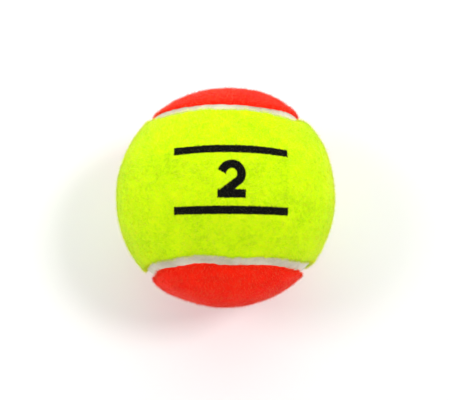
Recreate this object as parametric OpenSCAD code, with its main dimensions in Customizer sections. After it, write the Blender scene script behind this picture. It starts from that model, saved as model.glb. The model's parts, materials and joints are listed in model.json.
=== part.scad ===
// Low compression tennis ball for young players.
// Two moulded rubber cups are cemented rim to rim into a hollow core. Two dumb-bell panels of
// felt, one yellow and one orange, wrap the core and meet along one looping line of pale cement.
// The origin is the ball's centre. The yellow panel has its waist on +Z and its lobes on +X and -X.
// The orange panel is the same shape, with its waist on -Z and its lobes on +Y and -Y.

/* [Ball] */
// Outside diameter of the ball, over the felt
ball_d = 66; // [60:0.5:68.5]

/* [Core] */
// Wall of the rubber cups
cup_wall = 2.3; // [1.8:0.1:4.5]
// Thickness of the cement between the cups' rims
joint_t = 0.3; // [0.2:0.05:1]
// Radius of the cement bead squeezed out inside the core
bead_r = 0.6; // [0.4:0.05:1.5]
// Thickness of the rubber cement that coats the core
coat_t = 0.15; // [0.1:0.05:0.5]

/* [Felt] */
// Thickness of the felt above its backing
felt_t = 3; // [2:0.1:4.5]
// Thickness of the rubber backing under each felt panel
backing_t = 0.25; // [0.15:0.05:0.8]
// Rounding of the felt's edges along the seam
felt_edge_r = 1; // [0.4:0.1:1.5]
// Width of each panel at its waist, over the felt, between the middles of the seam
waist_w = 49; // [44:0.5:52]

/* [Seam] */
// Gap between the two felt panels
seam_w = 3.2; // [2:0.1:5]
// Depth of the seam cement below the ball's surface
seam_depth = 1.1; // [0.6:0.1:1.8]

/* [Hidden] */
$fn = 180;

// Radii of the layers, from the outside inwards
ball_r = ball_d / 2;
seam_r = ball_r - seam_depth;
felt_in_r = ball_r - felt_t;
backing_in_r = felt_in_r - backing_t;
core_r = backing_in_r - coat_t;
cavity_r = core_r - cup_wall;
// A size that reaches past the whole ball
reach = 2 * ball_r;

// The seam is four equal arcs of circles on the ball, two around the yellow lobes and two around
// the orange ones. They meet smoothly on the equator, midway between neighbouring lobes.
waist_angle = waist_w / 2 / ball_r * 180 / PI;
// Angle by which the axis of an arc leans away from the equator
arc_lean = atan2(cos(45) - sin(waist_angle), cos(waist_angle));
// Angle on the ball from the axis of an arc to the arc itself
arc_angle = acos(cos(arc_lean) * cos(45));
// Half of the turn that an arc makes about its axis
arc_half_turn = 90 + atan(sin(arc_lean));

// The arcs around the orange lobes are wider by this much on each side
end_step = 0.1;
// Length by which the arcs around the yellow lobes run on into the wider ones, and its turn
run_on = 0.4;
run_on_turn = run_on / (ball_r * sin(arc_angle)) * 180 / PI;

// Centre of the rounding of a felt edge in the seam's cross-section. The rounding stands a hair
// out of the ball's surface, so that the two cross instead of only touching.
edge_lift = 0.03;
edge_x = seam_w / 2 + felt_edge_r;
edge_y = sqrt(pow(ball_r - felt_edge_r + edge_lift, 2) - pow(edge_x, 2));

// A quarter of the seam's gap as an angle on the ball: the panels' shares of space end inside the gap
share_angle = asin(seam_w / 4 / ball_r);
// Height above the centre at which the cones around the lobes begin, inside the hollow
cone_start = cavity_r / 2;

yellow = "#d3ee0f";
orange = "#f4431c";
pale_cement = "#eceae0";
core_rubber = "#4a4845";
tan_rubber = "#c9b48a";

// Closed layer between two spheres
module layer(inner_r, outer_r) {
    difference() {
        sphere(outer_r);
        sphere(inner_r);
    }
}

// Everything from a given height upwards
module above(height) {
    translate([-reach, -reach, height]) cube(2 * reach);
}

// Turns what is made in the yellow panel's place over to the orange panel's
module turned_over() {
    rotate(180, [1, 1, 0]) children();
}

// Places a shape, made about Z, on the axes of the two arcs around the yellow lobes
module on_lobes() {
    for (turn = [0, 180])
        rotate([0, 0, turn]) rotate([0, 90 + arc_lean, 0]) children();
}

// Carries a cross-section, drawn with the middle of the seam on +Y, along one arc
module seam_arc(half_turn, $widen) {
    rotate([0, 0, -half_turn])
        rotate_extrude(angle = 2 * half_turn) rotate(-arc_angle) children();
}

// Carries a cross-section, which grows by $widen, along the whole seam
module along_seam() {
    on_lobes() seam_arc(arc_half_turn + run_on_turn, $widen = 0) children();
    turned_over() on_lobes() seam_arc(arc_half_turn, $widen = end_step) children();
}

// Straight gap between the panels, from inside the core's wall to outside the ball
module gap_section() {
    translate([-seam_w / 2 - $widen, cavity_r - $widen])
        square([seam_w + 2 * $widen, reach + 2 * $widen]);
}

// The gap, with its mouth opened by the rounded edges of the felt
module groove_section() {
    gap_section();
    difference() {
        translate([-edge_x - $widen, edge_y]) square([2 * (edge_x + $widen), reach]);
        for (side = [-1, 1])
            translate([side * (edge_x + $widen), edge_y]) circle(felt_edge_r);
    }
}

// Cone that opens from the ball's centre around an arc's axis
module lobe_cone() {
    slope = tan(arc_angle - share_angle);
    end = cone_start + reach;
    translate([0, 0, cone_start])
        cylinder(h = reach, r1 = cone_start * slope, r2 = end * slope);
}

// Space for the yellow panel: the upper half outside the orange lobes, and the yellow lobes below it
module yellow_share() {
    difference() {
        above(0);
        turned_over() on_lobes() lobe_cone();
    }
    difference() {
        on_lobes() lobe_cone();
        above(0);
    }
}

// The part of a grooved layer that lies in a panel's share of space
module dumbbell(inner_r, outer_r) {
    intersection() {
        difference() {
            layer(inner_r, outer_r);
            along_seam() groove_section();
        }
        children();
    }
}

// Half of the core, with its rim set back to make room for the cement
module core_cup() {
    intersection() {
        layer(cavity_r, core_r);
        above(joint_t / 2);
    }
}

module core_cup_upper() {
    color(core_rubber) core_cup();
}

module core_cup_lower() {
    color(core_rubber) turned_over() core_cup();
}

// Flat ring of cement between the rims, with a half-round bead inside the core
module core_joint_cement() {
    color(pale_cement) rotate_extrude() {
        intersection() {
            translate([0, -joint_t / 2]) square([reach, joint_t]);
            difference() {
                circle(core_r);
                circle(cavity_r);
            }
        }
        intersection() {
            translate([cavity_r, 0]) circle(bead_r);
            circle(cavity_r);
        }
    }
}

module core_cement_coat() {
    color(pale_cement) layer(core_r, backing_in_r);
}

module yellow_felt_backing() {
    color(tan_rubber) dumbbell(backing_in_r, felt_in_r) yellow_share();
}

module orange_felt_backing() {
    color(tan_rubber) dumbbell(backing_in_r, felt_in_r) turned_over() yellow_share();
}

module yellow_felt_panel() {
    color(yellow) dumbbell(felt_in_r, ball_r) yellow_share();
}

module orange_felt_panel() {
    color(orange) dumbbell(felt_in_r, ball_r) turned_over() yellow_share();
}

// Fills the gap from the core's coat up to a little below the felt's surface
module seam_cement() {
    color(pale_cement) intersection() {
        layer(backing_in_r, seam_r);
        along_seam() gap_section();
    }
}

core_cup_upper();
core_cup_lower();
core_joint_cement();
core_cement_coat();
yellow_felt_backing();
orange_felt_backing();
yellow_felt_panel();
orange_felt_panel();
seam_cement();
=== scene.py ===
"""Looks of a low compression tennis ball: two panels of felt with their nap, and the rubber seam between.

Lengths are in metres and angles in radians. The origin is the ball's centre. The yellow panel has its waist
on +Z and its lobes on +X and -X, and the orange panel its waist on -Z and its lobes on +Y and -Y.
"""

import json
import math

import bpy
import numpy as np
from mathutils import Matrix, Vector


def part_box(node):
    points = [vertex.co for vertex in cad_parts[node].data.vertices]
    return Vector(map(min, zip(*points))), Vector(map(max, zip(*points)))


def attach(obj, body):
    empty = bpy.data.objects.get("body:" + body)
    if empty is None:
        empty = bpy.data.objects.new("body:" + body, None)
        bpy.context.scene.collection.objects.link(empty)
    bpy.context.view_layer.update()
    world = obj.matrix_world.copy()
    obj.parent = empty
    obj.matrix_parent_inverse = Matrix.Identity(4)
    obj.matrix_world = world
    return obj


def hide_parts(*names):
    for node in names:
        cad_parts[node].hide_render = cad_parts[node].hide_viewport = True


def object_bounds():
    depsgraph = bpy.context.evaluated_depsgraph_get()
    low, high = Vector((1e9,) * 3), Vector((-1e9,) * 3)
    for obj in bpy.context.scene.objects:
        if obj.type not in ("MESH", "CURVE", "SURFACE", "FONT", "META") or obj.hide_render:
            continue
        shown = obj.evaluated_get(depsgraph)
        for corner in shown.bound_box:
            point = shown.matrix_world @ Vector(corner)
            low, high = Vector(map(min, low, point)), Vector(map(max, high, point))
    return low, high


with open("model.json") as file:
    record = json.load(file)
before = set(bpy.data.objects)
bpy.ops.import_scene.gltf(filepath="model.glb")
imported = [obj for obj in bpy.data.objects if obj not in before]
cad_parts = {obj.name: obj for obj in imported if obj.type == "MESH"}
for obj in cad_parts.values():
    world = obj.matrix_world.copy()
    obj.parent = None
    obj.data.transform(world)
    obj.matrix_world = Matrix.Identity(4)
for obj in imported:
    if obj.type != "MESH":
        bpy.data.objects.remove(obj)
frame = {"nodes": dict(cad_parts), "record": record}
cad_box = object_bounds()

MM = 0.001
YELLOW, ORANGE = 0, 1

# Radii of the layers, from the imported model
ball_r = cad_box[1].z
felt_in_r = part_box("yellow_felt_backing")[1][2]
coat_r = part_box("core_cement_coat")[1][2]
# The nap stands this far above the felt's body, and together they reach the ball's surface
nap_h = 0.25 * MM
felt_r = ball_r - nap_h
# Clearance between pieces that lie against each other
clearance = 0.02 * MM

# The panels and the gap between them, as in the part's source
waist_w = 49 * MM
seam_w = 3.2 * MM
seam_depth = 1.1 * MM
seam_r = ball_r - seam_depth

# The seam is a loop of equal arcs of circles: the lean of an arc's axis from the equator, the angle from the
# axis to the arc, and half of the turn that the arc makes. A place on the loop counts the arcs from its start
arcs = 4
waist_angle = waist_w / 2 / ball_r
arc_lean = math.atan2(math.sqrt(0.5) - math.sin(waist_angle), math.cos(waist_angle))
arc_angle = math.acos(math.cos(arc_lean) * math.sqrt(0.5))
arc_half_turn = math.pi / 2 + math.atan(math.sin(arc_lean))

# Rounding of a felt edge, across and down, and how far the edge leans over the gap
edge_w, edge_h, overhang = 1.7 * MM, 1.2 * MM, 0.4 * MM
# How far the edge strays to either side, in waves with these numbers of turns round the loop
edge_stray = 0.13 * MM
edge_turns = np.arange(6, 110)
# The seam was laid by hand. Each wander has its place on the loop, a shift towards yellow and the share of an
# arc over which it fades
wanders = [
    (1.23, 0.9 * MM, 0.08),
    (1.31, 0.45 * MM, 0.07),
    (1.57, -0.42 * MM, 0.08),
    (1.75, 0.55 * MM, 0.1),
    (3.38, 0.5 * MM, 0.05),
    (3.54, -0.5 * MM, 0.07),
    (3.74, 0.2 * MM, 0.06),
    (4.0, 1.9 * MM, 0.13),
    (3.06, -0.9 * MM, 0.08),
    (0.45, -0.5 * MM, 0.12),
    (0.8, 0.4 * MM, 0.09),
    (2.3, 0.5 * MM, 0.1),
    (2.65, -0.45 * MM, 0.08),
]
# Where the gap opens: the place, how far each edge draws back and the share of an arc over which it fades
openings = [
    (1.23, 0.9 * MM, 0.08),
    (1.75, 0.55 * MM, 0.1),
    (3.06, 0.5 * MM, 0.08),
    (3.98, 0.8 * MM, 0.12),
]

# The felt isn't quite round. Each swelling has a direction, a height and the angle over which it fades
swellings = [
    ((0.84, 0.54, 0.1), 0.7 * MM, 0.25),
    ((0.42, 0.89, 0.16), 0.85 * MM, 0.3),
    ((-0.86, -0.5, -0.1), 0.15 * MM, 0.3),
    ((-0.56, -0.81, -0.15), 0.85 * MM, 0.17),
]
# Height and size of the felt's soft lumps and of its tufts, and the share of half-size tufts among those
lump_h, lump_size = 0.1 * MM, 11 * MM
tuft_h, tuft_size, small_tufts = 0.09 * MM, 1.5 * MM, 0.6
# The two halves of a panel meet on a spine, which ends at this angle from the middle of the waist
spine_end = math.radians(100)

# The seam's rubber climbs the felt by the lip and sinks in its middle by the dish. The lip rises with this
# power of the way across, and ends at this turn of the felt's rounding and so far inland
lip_h, lip_power, dish_h = 0.25 * MM, 4, 0.08 * MM
lip_turn = math.asin(1 - (felt_r - seam_r - lip_h) / edge_h)
lip_w = edge_w * (1 - math.cos(lip_turn))
# Height and size of the rubber's pits and of its longer waves
pit_h, pit_size = 0.06 * MM, 1.6 * MM
wave_h, wave_size = 0.08 * MM, 7 * MM

# Points round a panel, and across its underside, wall, rounded edge and top
loop_points = 1200
under_points, wall_points, round_points, top_points = 7, 3, 11, 46
# Points across the top of the seam's rubber, and down each side of it along the felt's rounding
rubber_points, rubber_side_points = 17, 5

# Each panel's nap is in a few pieces of this many fibres
nap_pieces, nap_count = 3, 19500
# Length of the fibres, their thickness, the share of it that is left at the bend, and their lean from upright
fibre_l = (0.7 * MM, 1.5 * MM)
fibre_d = (0.035 * MM, 0.06 * MM)
bend_taper = 0.8
fibre_lean = (0.85, 1.45)
# Share of the fibres that stand up as fuzz, and how far those lean
fuzz_share, fuzz_lean = 0.18, (0.15, 0.8)
# Share of its lean that a fibre loses for each radian of the rounded edge's slope
edge_rise = 0.55
# Inland of the rubber's lip the nap makes a fringe of this width, so many times as dense as the rest
fringe_w, fringe_density = 0.8 * MM, 3
# Roots tried for each fibre, since the other panel's and most of those outside the fringe are dropped
root_tries = 3 * fringe_density
# Depth of the roots in the felt, and the size of the swirls in which the nap lies
root_depth = 0.08 * MM
swirl_size = 6 * MM
# How far a fibre strays from its swirl, and its upper half from its lower one
lay_stray, bend_stray = 0.8, 0.45

# The nap's map. Across, it has the felt's tones on the left and the ink on the right, and half the width of a
# fibre. Upwards, it has a fibre's root, bend and tip
NAP_MAP = "OFBake"
felt_tones, ink_tone, tone_half = 0.8, 0.93, 0.002
map_root, map_bend, map_tip = 0.03, 0.5, 0.97
# A fibre's tone: the middle, how far it strays, how much comes from its tuft, the limits, and the fuzz's,
# whose paler colour is a painted glow
tone_middle, tone_stray, tuft_tone, tone_limits, painted_glow_fuzz_tone = 0.5, 0.14, 0.25, (0.05, 0.8), 1
# Faces of a fibre up to the bend, up to the tip and under the root, by its corners. With them are the places
# of a face's corners on the map: half widths across from the fibre's tone, and how far up
fibre_faces = [
    (
        [(0, 1, 4, 3), (1, 2, 5, 4), (2, 0, 3, 5)],
        [(-1, map_root), (1, map_root), (1, map_bend), (-1, map_bend)],
    ),
    ([(3, 4, 6), (4, 5, 6), (5, 3, 6)], [(-1, map_bend), (1, map_bend), (0, map_tip)]),
    ([(2, 1, 0)], [(-1, 0), (1, 0), (0, map_root)]),
]

# The printed mark: where its middle is on the yellow waist, two stripes, and a plain number between them
print_x, print_y = 1.7 * MM, -0.7 * MM
stripe_l, stripe_t, stripe_up = 33 * MM, 2.3 * MM, 8.6 * MM
number_h, number_r, stroke = 10.6 * MM, 2.7 * MM, 2.4 * MM
# In radii of the number's bow, from its centre: the way square to the line that cuts the bow and how far off
# that line is, and the point where the bow passes into the slope
cut_x, cut_y, cut_off = 0.5, 0.866, 0.35
bow_end_x, bow_end_y = 0.64, -0.77
# How far the ink's edge strays from fibre to fibre and with the felt's grain, and fades to either side
ink_stray, ink_creep, ink_fade = 0.15 * MM, 0.8 * MM, 0.12 * MM

# Seeds of the random shapes. The orange panel's are one higher than these, and those of its nap ten higher
edge_seed, lump_seed, tuft_seed, small_tuft_seed, tone_seed = 11, 21, 61, 63, 71
stir_seeds, swirl_seeds = (31, 38, 45), (41, 46, 51)
pit_seed, wave_seed = 81, 82
nap_seed, nap_seed_step = 101, 10
# Random relief takes its numbers from a table of this size, with a large prime as the step along each axis
table_size = 65536
table_steps = np.array([73856093, 19349663, 83492791])

# Colours of the ink, and of the felt's body: deep, middle and pale
ink = (0.004, 0.004, 0.004)
yellow_tones = (0.41, 0.73, 0.001), (0.61, 0.9, 0.002), (0.73, 0.91, 0.003)
orange_tones = (0.9, 0.008, 0.001), (1.0, 0.016, 0.002), (1.0, 0.03, 0.006)
# Colours of its fibres: deep, middle, pale, and the fuzz's paler colour, a painted glow as if lit through
# from behind
yellow_nap_tones_and_fuzz_glow = (0.51, 0.79, 0.001), (0.79, 0.91, 0.006), (0.88, 0.91, 0.02), (0.92, 0.93, 0.09)
orange_nap_tones_and_fuzz_glow = (0.97, 0.01, 0.001), (1.0, 0.03, 0.005), (1.0, 0.065, 0.015), (1.0, 0.2, 0.07)
# Where those colours lie from deep to pale, and how much paler a fibre's tip is than its root: painted
# highlight at the tip, painted shade at the root
felt_stops = 0.38, 0.5, 0.62
nap_stops = 0.2, 0.5, 0.8, 1
painted_tip_light_root_shade = 0.3
# Sizes of the felt's slow drift of tone, of its mottling and of its grain, and their shares in its tone
drift_size, mottle_size, grain_size = 9 * MM, 1.3 * MM, 0.35 * MM
drift_share, mottle_share, grain_share = 0.25, 0.45, 0.3
# Shares of the mottling and the grain in the felt's bump, and its depth
mottle_bump, grain_bump, felt_bump_h = 0.6, 0.4, 0.3 * MM

# Colours of the seam's rubber where it is grimy and where it is clean, and where they lie between the two
rubber_colors = (0.45, 0.415, 0.3), (0.64, 0.61, 0.5)
rubber_stops = 0.35, 0.6
# Sizes of its clean and grimy patches and of its pores, their shares in its colour, and the pores' depth
patch_size, pore_size = 5 * MM, 0.4 * MM
patch_share, pore_share, pore_h = 0.7, 0.3, 0.1 * MM
# Its least roughness, and what the clean patches add
rubber_roughness, patch_roughness = 0.45, 0.25

# The pieces inside, by slot: the material's name, its dark and light shade, the size of its specks and its
# least roughness
inner_finishes = {
    "core_rubber": ("dark_core_rubber", (0.035, 0.033, 0.03), (0.09, 0.085, 0.08), 1.2 * MM, 0.55),
    "core_cement": ("cream_core_cement", (0.6, 0.52, 0.36), (0.78, 0.72, 0.58), 2.5 * MM, 0.3),
    "backing_rubber": ("tan_backing_rubber", (0.46, 0.35, 0.17), (0.66, 0.54, 0.32), 0.9 * MM, 0.5),
}
# Where their specks go from dark to light, what those add to the roughness, and their size over their height
speck_range, speck_roughness, speck_flatness = (0.35, 0.65), 0.2, 8

# Half the side of the floor, wide enough to fill every view, and how much of full white the camera sees added
# to it near the ball. Between these distances from the ball's centre that grows by full white
floor_half, floor_lift = 3.0, 0.07
lift_start, lift_end = 0.2, 1.2
# The camera looks down on the yellow waist, from an elevation in degrees and a distance in ball radii. The
# ball's radius and middle in the 450 by 400 pixel picture set the lens and the shift
camera_elevation, camera_far = 79.4, 9.1
image_w = 450
ball_px, left_px, rise_px = 109.5, -0.5, 2
near_clip = 0.01
# Lamps, all at one distance: name, azimuth about Z and elevation in degrees, size, and share of full white
lamp_far = 1.5
lamps = [
    ("top_lamp", 90, 46, 2.0, 0.34),
    ("right_lamp", 14, 57, 0.35, 0.33),
    ("left_lamp", 174, 50, 0.5, 0.22),
]
# A white studio, lit by its walls, with more at the back and less at the front
wall_light, back_extra = 2.7, 0.65


# Shapes
def seam_frame(arc):
    """The axis of an arc of the seam, the way from it to the arc's middle, and the way the arc is travelled.

    Arcs 0 and 2 go round the yellow lobes below the equator, arcs 1 and 3 round the orange lobes above it.
    Each is turned a quarter further about Z than the one before.
    """
    turn = arc * math.pi / 2
    up = np.where(arc % 2, 1.0, -1.0)
    across, forward = np.cos(turn), np.sin(turn)
    cos_lean, sin_lean = math.cos(arc_lean), math.sin(arc_lean)
    axis = np.stack([cos_lean * across, cos_lean * forward, sin_lean * up], -1)
    middle = np.stack([-sin_lean * across, -sin_lean * forward, cos_lean * up], -1)
    ahead = np.stack([-forward, across, 0 * turn], -1)
    return axis, middle, ahead


def seam_line(place):
    """Points of the seam's middle on the unit sphere, and the way from them to the yellow side.

    A point is the arc's axis tipped by the arc's angle towards a spoke, which turns about that axis. The way
    to the yellow side is the point crossed with the direction of travel.
    """
    arc = np.floor(place)
    axis, middle, ahead = seam_frame(arc)
    turn = ((place - arc - 0.5) * 2 * arc_half_turn)[..., None]
    spoke = np.cos(turn) * middle + np.sin(turn) * ahead
    point = math.cos(arc_angle) * axis + math.sin(arc_angle) * spoke
    travel = np.cos(turn) * ahead - np.sin(turn) * middle
    return point, np.cross(point, travel)


def seam_distance(way):
    """Distance over the ball from a direction to the seam's middle, plus on the yellow side, and the place.

    Above the equator it is the angle from the nearer orange arc's axis less the arc's own angle, and below
    it the arc's own angle less the angle from the nearer yellow arc's axis, times the ball's radius.
    """
    above = way[..., 2] > 0
    arc = np.where(above, np.where(way[..., 1] > 0, 1, 3), np.where(way[..., 0] > 0, 0, 2))
    axis, middle, ahead = seam_frame(arc)
    angle = np.arccos(np.clip((way * axis).sum(-1), -1, 1))
    turn = np.arctan2((way * ahead).sum(-1), (way * middle).sum(-1))
    distance = ball_r * np.where(above, angle - arc_angle, arc_angle - angle)
    return distance, arc + 0.5 + turn / (2 * arc_half_turn)


def felt_edge(place, side):
    """Distance from the seam's middle to a panel's edge: half the gap, less the overhang, plus waves, which
    have whole numbers of turns round the loop and get weaker as they get shorter, plus the openings, and
    plus or minus the seam's wanders. Openings and wanders fade like a bell."""
    random = np.random.default_rng(edge_seed + side)
    size = random.normal(size=edge_turns.size) / edge_turns**0.5
    phase = random.uniform(0, 2 * math.pi, edge_turns.size)
    waves = np.cos(place[..., None] * edge_turns * math.pi / (arcs / 2) + phase) @ size
    distance = seam_w / 2 - overhang + edge_stray * waves / np.sqrt((size**2).sum() / 2)
    sign = 1 if side == YELLOW else -1
    moves = openings + [(middle, sign * shift, spread) for middle, shift, spread in wanders]
    for middle, move, spread in moves:
        away = (place - middle + arcs / 2) % arcs - arcs / 2
        distance = distance + move * np.exp(-((away / spread) ** 2))
    return distance


def lumps(points, size, seed):
    """Smooth random relief from -1 to 1: every corner of a cubic lattice holds a random number, and a point
    takes the eased mix of the eight corners round it."""
    table = np.random.default_rng(seed).uniform(-1, 1, table_size)
    cell = np.floor(points / size)
    share = points / size - cell
    share = share * share * (3 - 2 * share)
    total = np.zeros(points.shape[:-1])
    for corner in np.ndindex(2, 2, 2):
        weight = np.where(corner, share, 1 - share).prod(-1)
        number = (cell + corner).astype(np.int64) @ table_steps
        total += weight * table[number % table_size]
    return total


def lump_vectors(points, size, seeds, side):
    """Vectors whose three parts are reliefs of one size."""
    return np.stack([lumps(points, size, seed + side) for seed in seeds], -1)


def unit(vectors):
    """Vectors at a length of one."""
    return vectors / np.linalg.norm(vectors, axis=-1, keepdims=True)


def felt_drop(inland):
    """How far the felt's rounded edge lies below its top, at a distance inland, and how steeply it falls
    there: a quarter of an ellipse and the angle of its slope."""
    short = np.clip(1 - inland / edge_w, 0, 1)
    level = np.sqrt(1 - short**2)
    return edge_h * (1 - level), np.arctan2(edge_h * short, edge_w * level)


def felt_relief(way, inland, side):
    """Height of the felt over the ball's sphere: swellings that fade like a bell, broad lumps, and tufts of
    two sizes, whose places are stirred by lumps twice as big. It fades out over the rounded edge."""
    points = way * ball_r
    height = lump_h * lumps(points, lump_size, lump_seed + side)
    for middle, rise, spread in swellings:
        angle = np.arccos(np.clip(way @ unit(np.array(middle)), -1, 1))
        height = height + rise * np.exp(-((angle / spread) ** 2))
    stirred = points + tuft_size * lump_vectors(points, 2 * tuft_size, stir_seeds, side)
    tufts = lumps(stirred, tuft_size, tuft_seed + side)
    tufts = tufts + small_tufts * lumps(stirred, tuft_size / 2, small_tuft_seed + side)
    fade = np.clip(inland / edge_w, 0, 1)
    return (height + tuft_h * tufts) * fade


def turned_over(vectors):
    """What is made in the yellow panel's place, turned half round about the line between +X and +Y."""
    return vectors[..., [1, 0, 2]] * np.array([1, 1, -1])


def grid_faces(numbers):
    """Quads of a grid of vertex numbers that closes on itself along its first side."""
    onward = np.roll(numbers, -1, 0)
    corners = [numbers[:, :-1], onward[:, :-1], onward[:, 1:], numbers[:, 1:]]
    return np.stack(corners, -1).reshape(-1, 4)


def add_piece(name, points, face_groups, material, slot, *nodes):
    """A mesh object of the points that the faces use, riding on the ball, in place of the given nodes."""
    used, numbers = np.unique(np.concatenate([group.ravel() for group in face_groups]), return_inverse=True)
    ends = np.cumsum([group.size for group in face_groups])[:-1]
    faces = []
    for group, renumbered in zip(face_groups, np.split(numbers, ends)):
        faces += renumbered.reshape(group.shape).tolist()
    mesh = bpy.data.meshes.new(name)
    mesh.from_pydata(points.reshape(-1, 3)[used].tolist(), [], faces)
    mesh.shade_smooth()
    mesh.materials.append(material)
    piece = bpy.data.objects.new(name, mesh)
    bpy.context.collection.objects.link(piece)
    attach(piece, "root")
    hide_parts(*nodes)
    return piece


def felt_panel(name, side, material, slot, node):
    """A closed panel of felt. The first parameter runs round the panel's edge, from the tip of a lobe. The
    second runs from the spine under the felt out to the edge, up the wall, over the rounding and back in to
    the spine on top.

    Near the edge a row is the seam's line moved sideways over the sphere. Further in, rows close on the
    spine, the arc from lobe to lobe through the waist, where the panel's two halves share their points.
    """
    place = 0.5 + arcs * np.arange(loop_points) / loop_points
    point, inwards = seam_line(place)
    # Turned over, a place on the loop becomes 2 less that place
    edge = felt_edge(place if side == YELLOW else 2 - place, side)

    round_turn = np.linspace(0, math.pi / 2, round_points)
    round_in, round_up = edge_w * (1 - np.cos(round_turn)), edge_h * np.sin(round_turn)
    wall = np.linspace(felt_in_r + clearance, felt_r - edge_h, wall_points + 1)
    # Distance in from the edge, share of the way to the spine and radius of the rows of each stretch
    stretches = [
        (edge_w, np.linspace(1, 0, under_points), wall[0]),
        (0, 0, wall[:-1]),
        (round_in, 0, felt_r - edge_h + round_up),
        (edge_w, np.linspace(0, 1, top_points + 1)[1:], felt_r),
    ]
    rows = [np.stack(np.broadcast_arrays(*stretch)) for stretch in stretches]
    inland, to_spine, radius = np.concatenate(rows, 1)
    raised = np.arange(inland.size) >= under_points + wall_points

    sideways = ((edge[:, None] + inland) / ball_r)[..., None]
    row = np.cos(sideways) * point[:, None] + np.sin(sideways) * inwards[:, None]
    # The spine's partner of an edge point has nearly the same angle from +Z. With the cube of that angle it
    # is drawn in towards the lobe's middle
    angle = np.arctan2(point[:, 0], point[:, 2])
    tip_angle = math.pi - waist_angle
    angle = angle - (tip_angle - spine_end) * (angle / tip_angle) ** 3
    spine = np.stack([np.sin(angle), 0 * angle, np.cos(angle)], -1)[:, None]
    way = unit((1 - to_spine[:, None]) * row + to_spine[:, None] * spine)
    if side == ORANGE:
        way = turned_over(way)
    points = way * (radius + felt_relief(way, inland, side) * raised)[..., None]

    # On the spine, under the felt and on top, the second half takes the first half's points
    numbers = np.arange(points[..., 0].size).reshape(points.shape[:2])
    half = loop_points // 2
    for end in (0, -1):
        numbers[half + 1 :, end] = numbers[1:half, end][::-1]
    return add_piece(name, points, [grid_faces(numbers)], material, slot, node)


def seam_bead(name, material, slot, node):
    """The rubber of the seam: a closed profile carried round the loop. Across the top it goes from one felt
    edge to the other, dished, with a lip that climbs each edge. Under the lips it follows the felt's
    rounding down. Below the felt it steps in or out to the straight gap between the two backings, and it
    goes back along the core's coat."""
    place = arcs * np.arange(loop_points) / loop_points
    point, to_yellow = seam_line(place)
    yellow_edge = felt_edge(place, YELLOW)[:, None] - clearance
    orange_edge = felt_edge(place, ORANGE)[:, None] - clearance
    across = np.sin(np.linspace(-1, 1, rubber_points) * math.pi / 2)
    top = across * (np.where(across > 0, yellow_edge, orange_edge) + lip_w)
    top_r = seam_r + lip_h * np.abs(across) ** lip_power - dish_h * (1 - across**2)
    down = np.linspace(lip_turn, 0, rubber_side_points)[1:]
    side, side_r = edge_w * (1 - np.cos(down)), felt_r - edge_h * (1 - np.sin(down))
    yellow_side, orange_side = yellow_edge + side, -orange_edge - side[::-1]
    # Under the yellow felt's edge, down the gap's yellow wall, over its middle, up its orange wall and
    # under the orange felt's edge
    walls = np.array([1, 1, 0, -1, -1]) * (seam_w / 2 - clearance)
    gap = np.broadcast_to(walls, (loop_points, walls.size))
    step_r, under_r = felt_in_r + clearance / 2, coat_r + clearance
    below_r = [step_r, step_r, under_r, under_r, under_r, step_r, step_r]
    sideways = np.concatenate([top, yellow_side, yellow_edge, gap, -orange_edge, orange_side], 1) / ball_r
    radius = np.concatenate([top_r, side_r, below_r, side_r[::-1]])
    way = np.cos(sideways)[..., None] * point[:, None] + np.sin(sideways)[..., None] * to_yellow[:, None]
    pits = pit_h * lumps(way * ball_r, pit_size, pit_seed)
    waves = wave_h * lumps(way * ball_r, wave_size, wave_seed)
    on_top = np.arange(radius.size) < rubber_points
    points = way * (radius + (pits + waves) * on_top)[..., None]
    numbers = np.arange(points[..., 0].size).reshape(points.shape[:2])
    numbers = np.concatenate([numbers, numbers[:, :1]], 1)
    return add_piece(name, points, [grid_faces(numbers)], material, slot, node)


def nap_roots(side, random):
    """Directions of the nap's roots, their distances in from the felt's edge and their places along the seam.

    They are scattered evenly over the part of the panel that is inland of the rubber's lip. In the fringe all
    are taken, and elsewhere one in as many as the fringe is denser.
    """
    way = unit(random.normal(size=(root_tries * nap_count, 3)))
    distance, place = seam_distance(way)
    inland = (distance if side == YELLOW else -distance) - felt_edge(place, side)
    wanted = (inland < lip_w + fringe_w) | (random.uniform(size=inland.size) < 1 / fringe_density)
    chosen = np.flatnonzero(wanted & (inland > lip_w))[:nap_count]
    return way[chosen], inland[chosen], place[chosen]


def fibre_tones(side, root_way, bend, fuzz, random):
    """Places of fibres across the nap's map: a random tone, which a fibre partly shares with its tuft, the
    fuzz's own tone, whose paler colour is a painted glow as if lit through from behind, or the ink where the
    bend lies in the printed mark."""
    tuft = lumps(root_way * ball_r, tuft_size / 2, tone_seed + side)
    tone = tone_middle + tone_stray * random.normal(size=nap_count) + tuft_tone * tuft
    # Fuzz fibres take the fuzz's tone, a paler colour painted as a glow of light through them
    tone = np.where(fuzz, painted_glow_fuzz_tone, np.clip(tone, *tone_limits)) * felt_tones
    if side == YELLOW:
        stray = ink_stray * random.normal(size=nap_count)
        tone = np.where(print_mark(*print_plane(*unit(bend).T)) + stray < 0, ink_tone, tone)
    return tone


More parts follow.
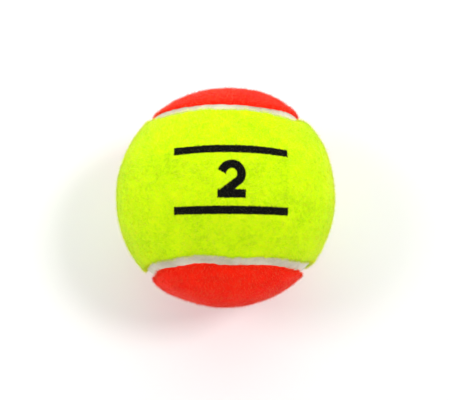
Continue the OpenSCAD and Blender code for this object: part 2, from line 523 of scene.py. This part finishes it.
def nap(name, side, material, slot, seed):
    """Fibres of the nap: thin spikes with three corners at the root, three at a bend and one at the tip.

    A fibre leans away from the felt's upright, square to the sum of a slowly turning field of random vectors
    and a random way of its own, and bends a second time half way up. Its map has the fibre's tone across and
    its length upwards.
    """
    random = np.random.default_rng(seed)
    way, inland, place = nap_roots(side, random)
    drop, slope = felt_drop(inland)
    radius = felt_r - drop + felt_relief(way, inland, side) - root_depth
    to_yellow = seam_line(place)[1]
    to_seam = -to_yellow if side == YELLOW else to_yellow
    upright = unit(np.cos(slope)[:, None] * way + np.sin(slope)[:, None] * to_seam)

    swirl = lump_vectors(way * ball_r, swirl_size, swirl_seeds, side)
    lay = np.cross(upright, unit(swirl) + lay_stray * unit(random.normal(size=way.shape)))
    fuzz = random.uniform(size=nap_count) < fuzz_share
    lean = np.where(fuzz, random.uniform(*fuzz_lean, nap_count), random.uniform(*fibre_lean, nap_count))
    lean = (lean * (1 - edge_rise * slope))[:, None]
    lower = np.cos(lean) * upright + np.sin(lean) * unit(lay)
    upper = unit(lower + bend_stray * unit(random.normal(size=way.shape)))
    half_length = 0.5 * random.uniform(*fibre_l, nap_count)[:, None]
    root = way * radius[:, None]
    bend = root + half_length * lower
    tip = bend + half_length * upper

    first = unit(np.cross(lower, random.normal(size=way.shape)))
    second = np.cross(lower, first)
    turn = np.arange(3) * 2 * math.pi / 3
    ring = np.cos(turn)[:, None] * first[:, None] + np.sin(turn)[:, None] * second[:, None]
    ring = ring * random.uniform(*fibre_d, nap_count)[:, None, None] / 2
    corners = np.concatenate([root[:, None] + ring, bend[:, None] + bend_taper * ring, tip[:, None]], 1)

    tone = fibre_tones(side, way, bend, fuzz, random)[:, None]
    base = corners.shape[1] * np.arange(nap_count)[:, None, None]
    face_groups, maps = [], []
    for faces, spots in fibre_faces:
        face_groups.append((base + np.array(faces)).reshape(-1, len(spots)))
        across, up = np.array(spots * len(faces)).T
        maps.append(np.stack([tone + tone_half * across, 0 * tone + up], -1).ravel())
    piece = add_piece(name, corners, face_groups, material, slot)
    piece.data.uv_layers.new(name=NAP_MAP).data.foreach_set("uv", np.concatenate(maps))
    return piece


def panel_naps(color, side, material):
    """The pieces of one panel's nap."""
    first_seed = nap_seed + nap_seed_step * side
    return [
        nap(f"{color}_nap_{part + 1}", side, material, f"{color}_felt", first_seed + part)
        for part in range(nap_pieces)
    ]


# Shader maths
class Value:
    """A socket of a node tree. Arithmetic on values, or on a value and a number, adds Math nodes."""

    def __init__(self, tree, socket):
        self.tree, self.socket = tree, socket

    def math(self, operation, *inputs):
        return add_node(self.tree, "ShaderNodeMath", {"operation": operation}, dict(enumerate(inputs)))

    def __add__(self, other):
        return self.math("ADD", self, other)

    def __sub__(self, other):
        return self.math("SUBTRACT", self, other)

    def __rsub__(self, other):
        return self.math("SUBTRACT", other, self)

    def __mul__(self, other):
        return self.math("MULTIPLY", self, other)

    def __truediv__(self, other):
        return self.math("DIVIDE", self, other)

    def __rtruediv__(self, other):
        return self.math("DIVIDE", other, self)

    def __pow__(self, other):
        return self.math("POWER", self, other)

    def __abs__(self):
        return self.math("ABSOLUTE", self)

    __radd__ = __add__
    __rmul__ = __mul__


def add_node(tree, kind, settings=None, inputs=None, output=0):
    """One output of a new node of that kind. Its settings are made first, and then its sockets are filled."""
    node = tree.nodes.new(kind)
    for name, value in (settings or {}).items():
        if name == "stops":
            ramp = node.color_ramp
            while len(ramp.elements) < len(value):
                ramp.elements.new(1)
            for element, (position, color) in zip(ramp.elements, value):
                element.position, element.color = position, (*color, 1)
        else:
            setattr(node, name, value)
    for name, value in (inputs or {}).items():
        if isinstance(value, Value):
            tree.links.new(value.socket, node.inputs[name])
        else:
            socket = node.inputs[name]
            socket.default_value = (*value, 1) if socket.type == "RGBA" else value
    return Value(tree, node.outputs[output])


def least(first, second):
    """The smaller of two values or arrays."""
    return first.math("MINIMUM", first, second) if isinstance(first, Value) else np.minimum(first, second)


def most(first, second):
    """The larger of two values or arrays."""
    return first.math("MAXIMUM", first, second) if isinstance(first, Value) else np.maximum(first, second)


def eased(tree, value, start, end):
    """0 up to the start, 1 from the end on, and eased between them."""
    settings = {"interpolation_type": "SMOOTHSTEP"}
    inputs = {"Value": value, "From Min": start, "From Max": end}
    return add_node(tree, "ShaderNodeMapRange", settings, inputs)


def noise(tree, where, size, detail, roughness=0.55, distortion=0.0):
    """Noise from 0 to 1 with features of about that size."""
    inputs = {
        "Vector": where,
        "Scale": 1 / size,
        "Detail": detail,
        "Roughness": roughness,
        "Distortion": distortion,
    }
    return add_node(tree, "ShaderNodeTexNoise", None, inputs)


def object_place(tree):
    """The point of the surface in the ball's frame."""
    return add_node(tree, "ShaderNodeTexCoord", output="Object")


def parts(tree, vector, axes):
    """Parts of a vector, by the letters of their axes."""
    return [add_node(tree, "ShaderNodeSeparateXYZ", None, {"Vector": vector}, axis) for axis in axes]


def ramp_color(tree, value, positions, colors):
    """Colours at their positions, and mixed between them, at a value."""
    return add_node(tree, "ShaderNodeValToRGB", {"stops": list(zip(positions, colors))}, {"Fac": value})


def mix_colors(tree, share, first, second):
    """Two colours mixed by a share. A Mix node's sockets have the same names for each type of data, so the
    colours' are given by number."""
    factor_in, first_in, second_in, color_out = 0, 6, 7, 2
    inputs = {factor_in: share, first_in: first, second_in: second}
    return add_node(tree, "ShaderNodeMix", {"data_type": "RGBA"}, inputs, color_out)


def bump(tree, height, strength, distance):
    """A normal roughened by a height from 0 to 1, which stands for that distance."""
    inputs = {"Strength": strength, "Distance": distance, "Height": height}
    return add_node(tree, "ShaderNodeBump", None, inputs)


def print_plane(x, y, z):
    """A direction from the ball's centre, flattened about +Z without change of area: its X and Y, times the
    ball's radius and the root of 2 over 1 plus its Z, from the mark's middle."""
    spread = ball_r * (2 / (1 + z)) ** 0.5
    return x * spread - print_x, y * spread - print_y


def print_mark(x, y):
    """Distance to the edge of the printed mark, negative inside it.

    A stripe is a box, the number's bow a ring cut by a slanted line, its slope a stroke between two points
    with round ends, and its foot a box. The mark is the nearest of them.
    """
    stripes = most(abs(x) - stripe_l / 2, abs(abs(y) - stripe_up) - stripe_t / 2)
    bow_y = number_h / 2 - stroke / 2 - number_r
    foot_y = stroke / 2 - number_h / 2
    ring = abs((x * x + (y - bow_y) * (y - bow_y)) ** 0.5 - number_r) - stroke / 2
    bow = most(ring, -cut_off * number_r - (cut_x * x + cut_y * (y - bow_y)))
    start_x, start_y = bow_end_x * number_r, bow_y + bow_end_y * number_r
    run_x, run_y = -number_r - start_x, foot_y - start_y
    share = ((x - start_x) * run_x + (y - start_y) * run_y) / (run_x**2 + run_y**2)
    share = least(most(share, 0), 1)
    off_x, off_y = x - start_x - share * run_x, y - start_y - share * run_y
    slope = (off_x * off_x + off_y * off_y) ** 0.5 - stroke / 2
    foot = most(abs(x) - number_r - stroke / 2, abs(y - foot_y) - stroke / 2)
    return least(least(stripes, bow), least(slope, foot))


# Materials
def new_material(name):
    """An empty node material and its tree."""
    material = bpy.data.materials.new(name)
    material.use_nodes = True
    material.node_tree.nodes.clear()
    return material, material.node_tree


def finish_material(tree, shader):
    """Joins a shader to the material's output."""
    output = tree.nodes.new("ShaderNodeOutputMaterial")
    tree.links.new(shader.socket, output.inputs["Surface"])


def surface(tree, inputs):
    """The shader of every surface here, with the given sockets filled."""
    return add_node(tree, "ShaderNodeBsdfPrincipled", None, inputs)


def sheen(weight, roughness, color):
    """Sockets for the sheen of fibres, tinted half way from white to a colour."""
    tint = [(1 + part) / 2 for part in color]
    return {"Sheen Weight": weight, "Sheen Roughness": roughness, "Sheen Tint": tint}


def felt_material(name, tones, printed):
    """Felt: tone that drifts over the panel, mottled by tufts and by single fibres, and a bump of matted
    fibres. The ink of the printed mark has a fuzzy edge."""
    material, tree = new_material(name)
    where = object_place(tree)
    drift = noise(tree, where, drift_size, detail=2)
    mottle = noise(tree, where, mottle_size, detail=4, roughness=0.6, distortion=1.2)
    grain = noise(tree, where, grain_size, detail=3, roughness=0.7, distortion=0.6)
    tone = drift_share * drift + mottle_share * mottle + grain_share * grain
    color = ramp_color(tree, tone, felt_stops, tones)
    if printed:
        way = add_node(tree, "ShaderNodeVectorMath", {"operation": "NORMALIZE"}, {0: where})
        mark = print_mark(*print_plane(*parts(tree, way, "XYZ"))) + ink_creep * (grain - 0.5)
        color = mix_colors(tree, eased(tree, mark, ink_fade, -ink_fade), color, ink)
    matting = bump(tree, mottle_bump * mottle + grain_bump * grain, strength=0.6, distance=felt_bump_h)
    inputs = {"Base Color": color, "Roughness": 0.92, "Normal": matting, "Specular IOR Level": 0.05}
    inputs |= sheen(weight=0.6, roughness=0.25, color=tones[2])
    finish_material(tree, surface(tree, inputs))
    return material


def nap_material(name, tones):
    """Fibres of the nap: their tone across the map, with painted shade at the root and a painted highlight at
    the tip, and the ink at the map's end."""
    material, tree = new_material(name)
    where = add_node(tree, "ShaderNodeUVMap", {"uv_map": NAP_MAP})
    tone, up = parts(tree, where, "XY")
    # The root is painted darker as shade and the tip paler as a highlight
    shade = tone / felt_tones + painted_tip_light_root_shade * (up - map_bend)
    color = ramp_color(tree, shade, nap_stops, tones)
    inked = tone.math("GREATER_THAN", tone, (felt_tones + ink_tone) / 2)
    color = mix_colors(tree, inked, color, ink)
    inputs = {"Base Color": color, "Roughness": 0.85, "Specular IOR Level": 0.08}
    inputs |= sheen(weight=0.3, roughness=0.2, color=tones[2])
    finish_material(tree, surface(tree, inputs))
    return material


def seam_material(name):
    """Pale seam rubber: clean and grimy patches, fine pores, and a satin gloss that varies by patch."""
    material, tree = new_material(name)
    where = object_place(tree)
    patches = noise(tree, where, patch_size, detail=4, roughness=0.6)
    pores = noise(tree, where, pore_size, detail=3, roughness=0.6)
    color = ramp_color(tree, patch_share * patches + pore_share * pores, rubber_stops, rubber_colors)
    relief = bump(tree, pores, strength=0.5, distance=pore_h)
    roughness = rubber_roughness + patch_roughness * patches
    finish_material(tree, surface(tree, {"Base Color": color, "Roughness": roughness, "Normal": relief}))
    return material


def speckled_material(name, dark, light, size, least_roughness):
    """Moulded rubber or cement inside the ball: two shades in specks of one size, and a bump of the same
    specks, as high as their size over their flatness."""
    material, tree = new_material(name)
    specks = noise(tree, object_place(tree), size, detail=5, roughness=0.65)
    color = mix_colors(tree, eased(tree, specks, *speck_range), dark, light)
    relief = bump(tree, specks, strength=0.3, distance=size / speck_flatness)
    roughness = least_roughness + speck_roughness * specks
    finish_material(tree, surface(tree, {"Base Color": color, "Roughness": roughness, "Normal": relief}))
    return material


def seen_straight(tree):
    """1 for what is seen, straight, mirrored or through glass, and 0 for what only lights the ball."""
    rays = "Is Camera Ray", "Is Glossy Ray", "Is Transmission Ray"
    camera_ray, glossy_ray, through_ray = (add_node(tree, "ShaderNodeLightPath", output=ray) for ray in rays)
    return least(camera_ray + glossy_ray + through_ray, 1)


def floor_material(name):
    """White floor. The camera sees it lifted a little, so that it is white away from the ball's shadow, and
    lifted more beyond the reach of the lamps."""
    material, tree = new_material(name)
    where = object_place(tree)
    distance = add_node(tree, "ShaderNodeVectorMath", {"operation": "LENGTH"}, {0: where}, "Value")
    lift = floor_lift + eased(tree, distance, lift_start, lift_end)
    matte = surface(tree, {"Base Color": (0.9, 0.9, 0.9), "Roughness": 0.9, "Specular IOR Level": 0.1})
    glow = {"Color": (1, 1, 1), "Strength": lift * seen_straight(tree)}
    lifted = add_node(tree, "ShaderNodeEmission", None, glow)
    finish_material(tree, add_node(tree, "ShaderNodeAddShader", None, {0: matte, 1: lifted}))
    return material


# The ball
yellow_felt = felt_material("yellow_matted_felt", yellow_tones, printed=True)
orange_felt = felt_material("orange_matted_felt", orange_tones, printed=False)
yellow_fibres = nap_material("yellow_fibres", yellow_nap_tones_and_fuzz_glow)
orange_fibres = nap_material("orange_fibres", orange_nap_tones_and_fuzz_glow)
seam_rubber = seam_material("pale_seam_rubber")

yellow_panel = felt_panel("yellow_felt", YELLOW, yellow_felt, "yellow_felt", "yellow_felt_panel")
orange_panel = felt_panel("orange_felt", ORANGE, orange_felt, "orange_felt", "orange_felt_panel")
seam_bead("seam_rubber", seam_rubber, "seam_rubber", "seam_cement")
yellow_naps = panel_naps("yellow", YELLOW, yellow_fibres)
orange_naps = panel_naps("orange", ORANGE, orange_fibres)

inner_materials = {slot: speckled_material(*finish) for slot, finish in inner_finishes.items()}
for subpart in frame["record"]["subparts"]:
    if subpart["material_slot"] in inner_materials:
        slots = frame["nodes"][subpart["node"]].data.materials
        slots.clear()
        slots.append(inner_materials[subpart["material_slot"]])

# Floor
floor_mesh = bpy.data.meshes.new("floor")
signs = [(-1, -1), (1, -1), (1, 1), (-1, 1)]
floor_mesh.from_pydata([(floor_half * x, floor_half * y, -ball_r) for x, y in signs], [], [(0, 1, 2, 3)])
floor_mesh.materials.append(floor_material("floor_white"))
floor = bpy.data.objects.new("floor", floor_mesh)
bpy.context.collection.objects.link(floor)

# Camera
camera_tilt = math.radians(90 - camera_elevation)
lens_px = ball_px * math.sqrt(camera_far**2 - 1)
camera_data = bpy.data.cameras.new("camera")
camera_data.lens = lens_px / image_w * camera_data.sensor_width
camera_data.shift_x = left_px / image_w
camera_data.shift_y = -rise_px / image_w
camera_data.clip_start = near_clip
camera = bpy.data.objects.new("camera", camera_data)
camera.location = camera_far * ball_r * np.array([0, -math.sin(camera_tilt), math.cos(camera_tilt)])
camera.rotation_euler = (camera_tilt, 0, 0)
bpy.context.collection.objects.link(camera)
bpy.context.scene.camera = camera


# Light
def add_lamp(name, azimuth, elevation, size, share):
    """A square lamp that faces the ball, from an azimuth about Z and an elevation. Its power gives a level
    white floor that share of full white: the share times pi squared and the distance squared, over the sine
    of the elevation."""
    azimuth, elevation = math.radians(azimuth), math.radians(elevation)
    data = bpy.data.lights.new(name, "AREA")
    data.size = size
    data.energy = share * (math.pi * lamp_far) ** 2 / math.sin(elevation)
    lamp = bpy.data.objects.new(name, data)
    level = lamp_far * math.cos(elevation)
    lamp.location = level * math.cos(azimuth), level * math.sin(azimuth), lamp_far * math.sin(elevation)
    lamp.rotation_euler = math.pi / 2 - elevation, 0, azimuth + math.pi / 2
    bpy.context.collection.objects.link(lamp)


for lamp_values in lamps:
    add_lamp(*lamp_values)

# The studio's walls fade out towards its ceiling, and the camera sees plain white
world = bpy.data.worlds.new("studio")
bpy.context.scene.world = world
world.use_nodes = True
tree = world.node_tree
back, rise = parts(tree, add_node(tree, "ShaderNodeTexCoord", output="Generated"), "YZ")
light = (wall_light + back_extra * back) * (1 - least(most(rise, 0), 1)) ** 2
strength = light + seen_straight(tree) * (1 - light)
background = tree.nodes["Background"]
background.inputs["Color"].default_value = (1, 1, 1, 1)
tree.links.new(strength.socket, background.inputs["Strength"])

bpy.context.scene.view_settings.view_transform = "Standard"
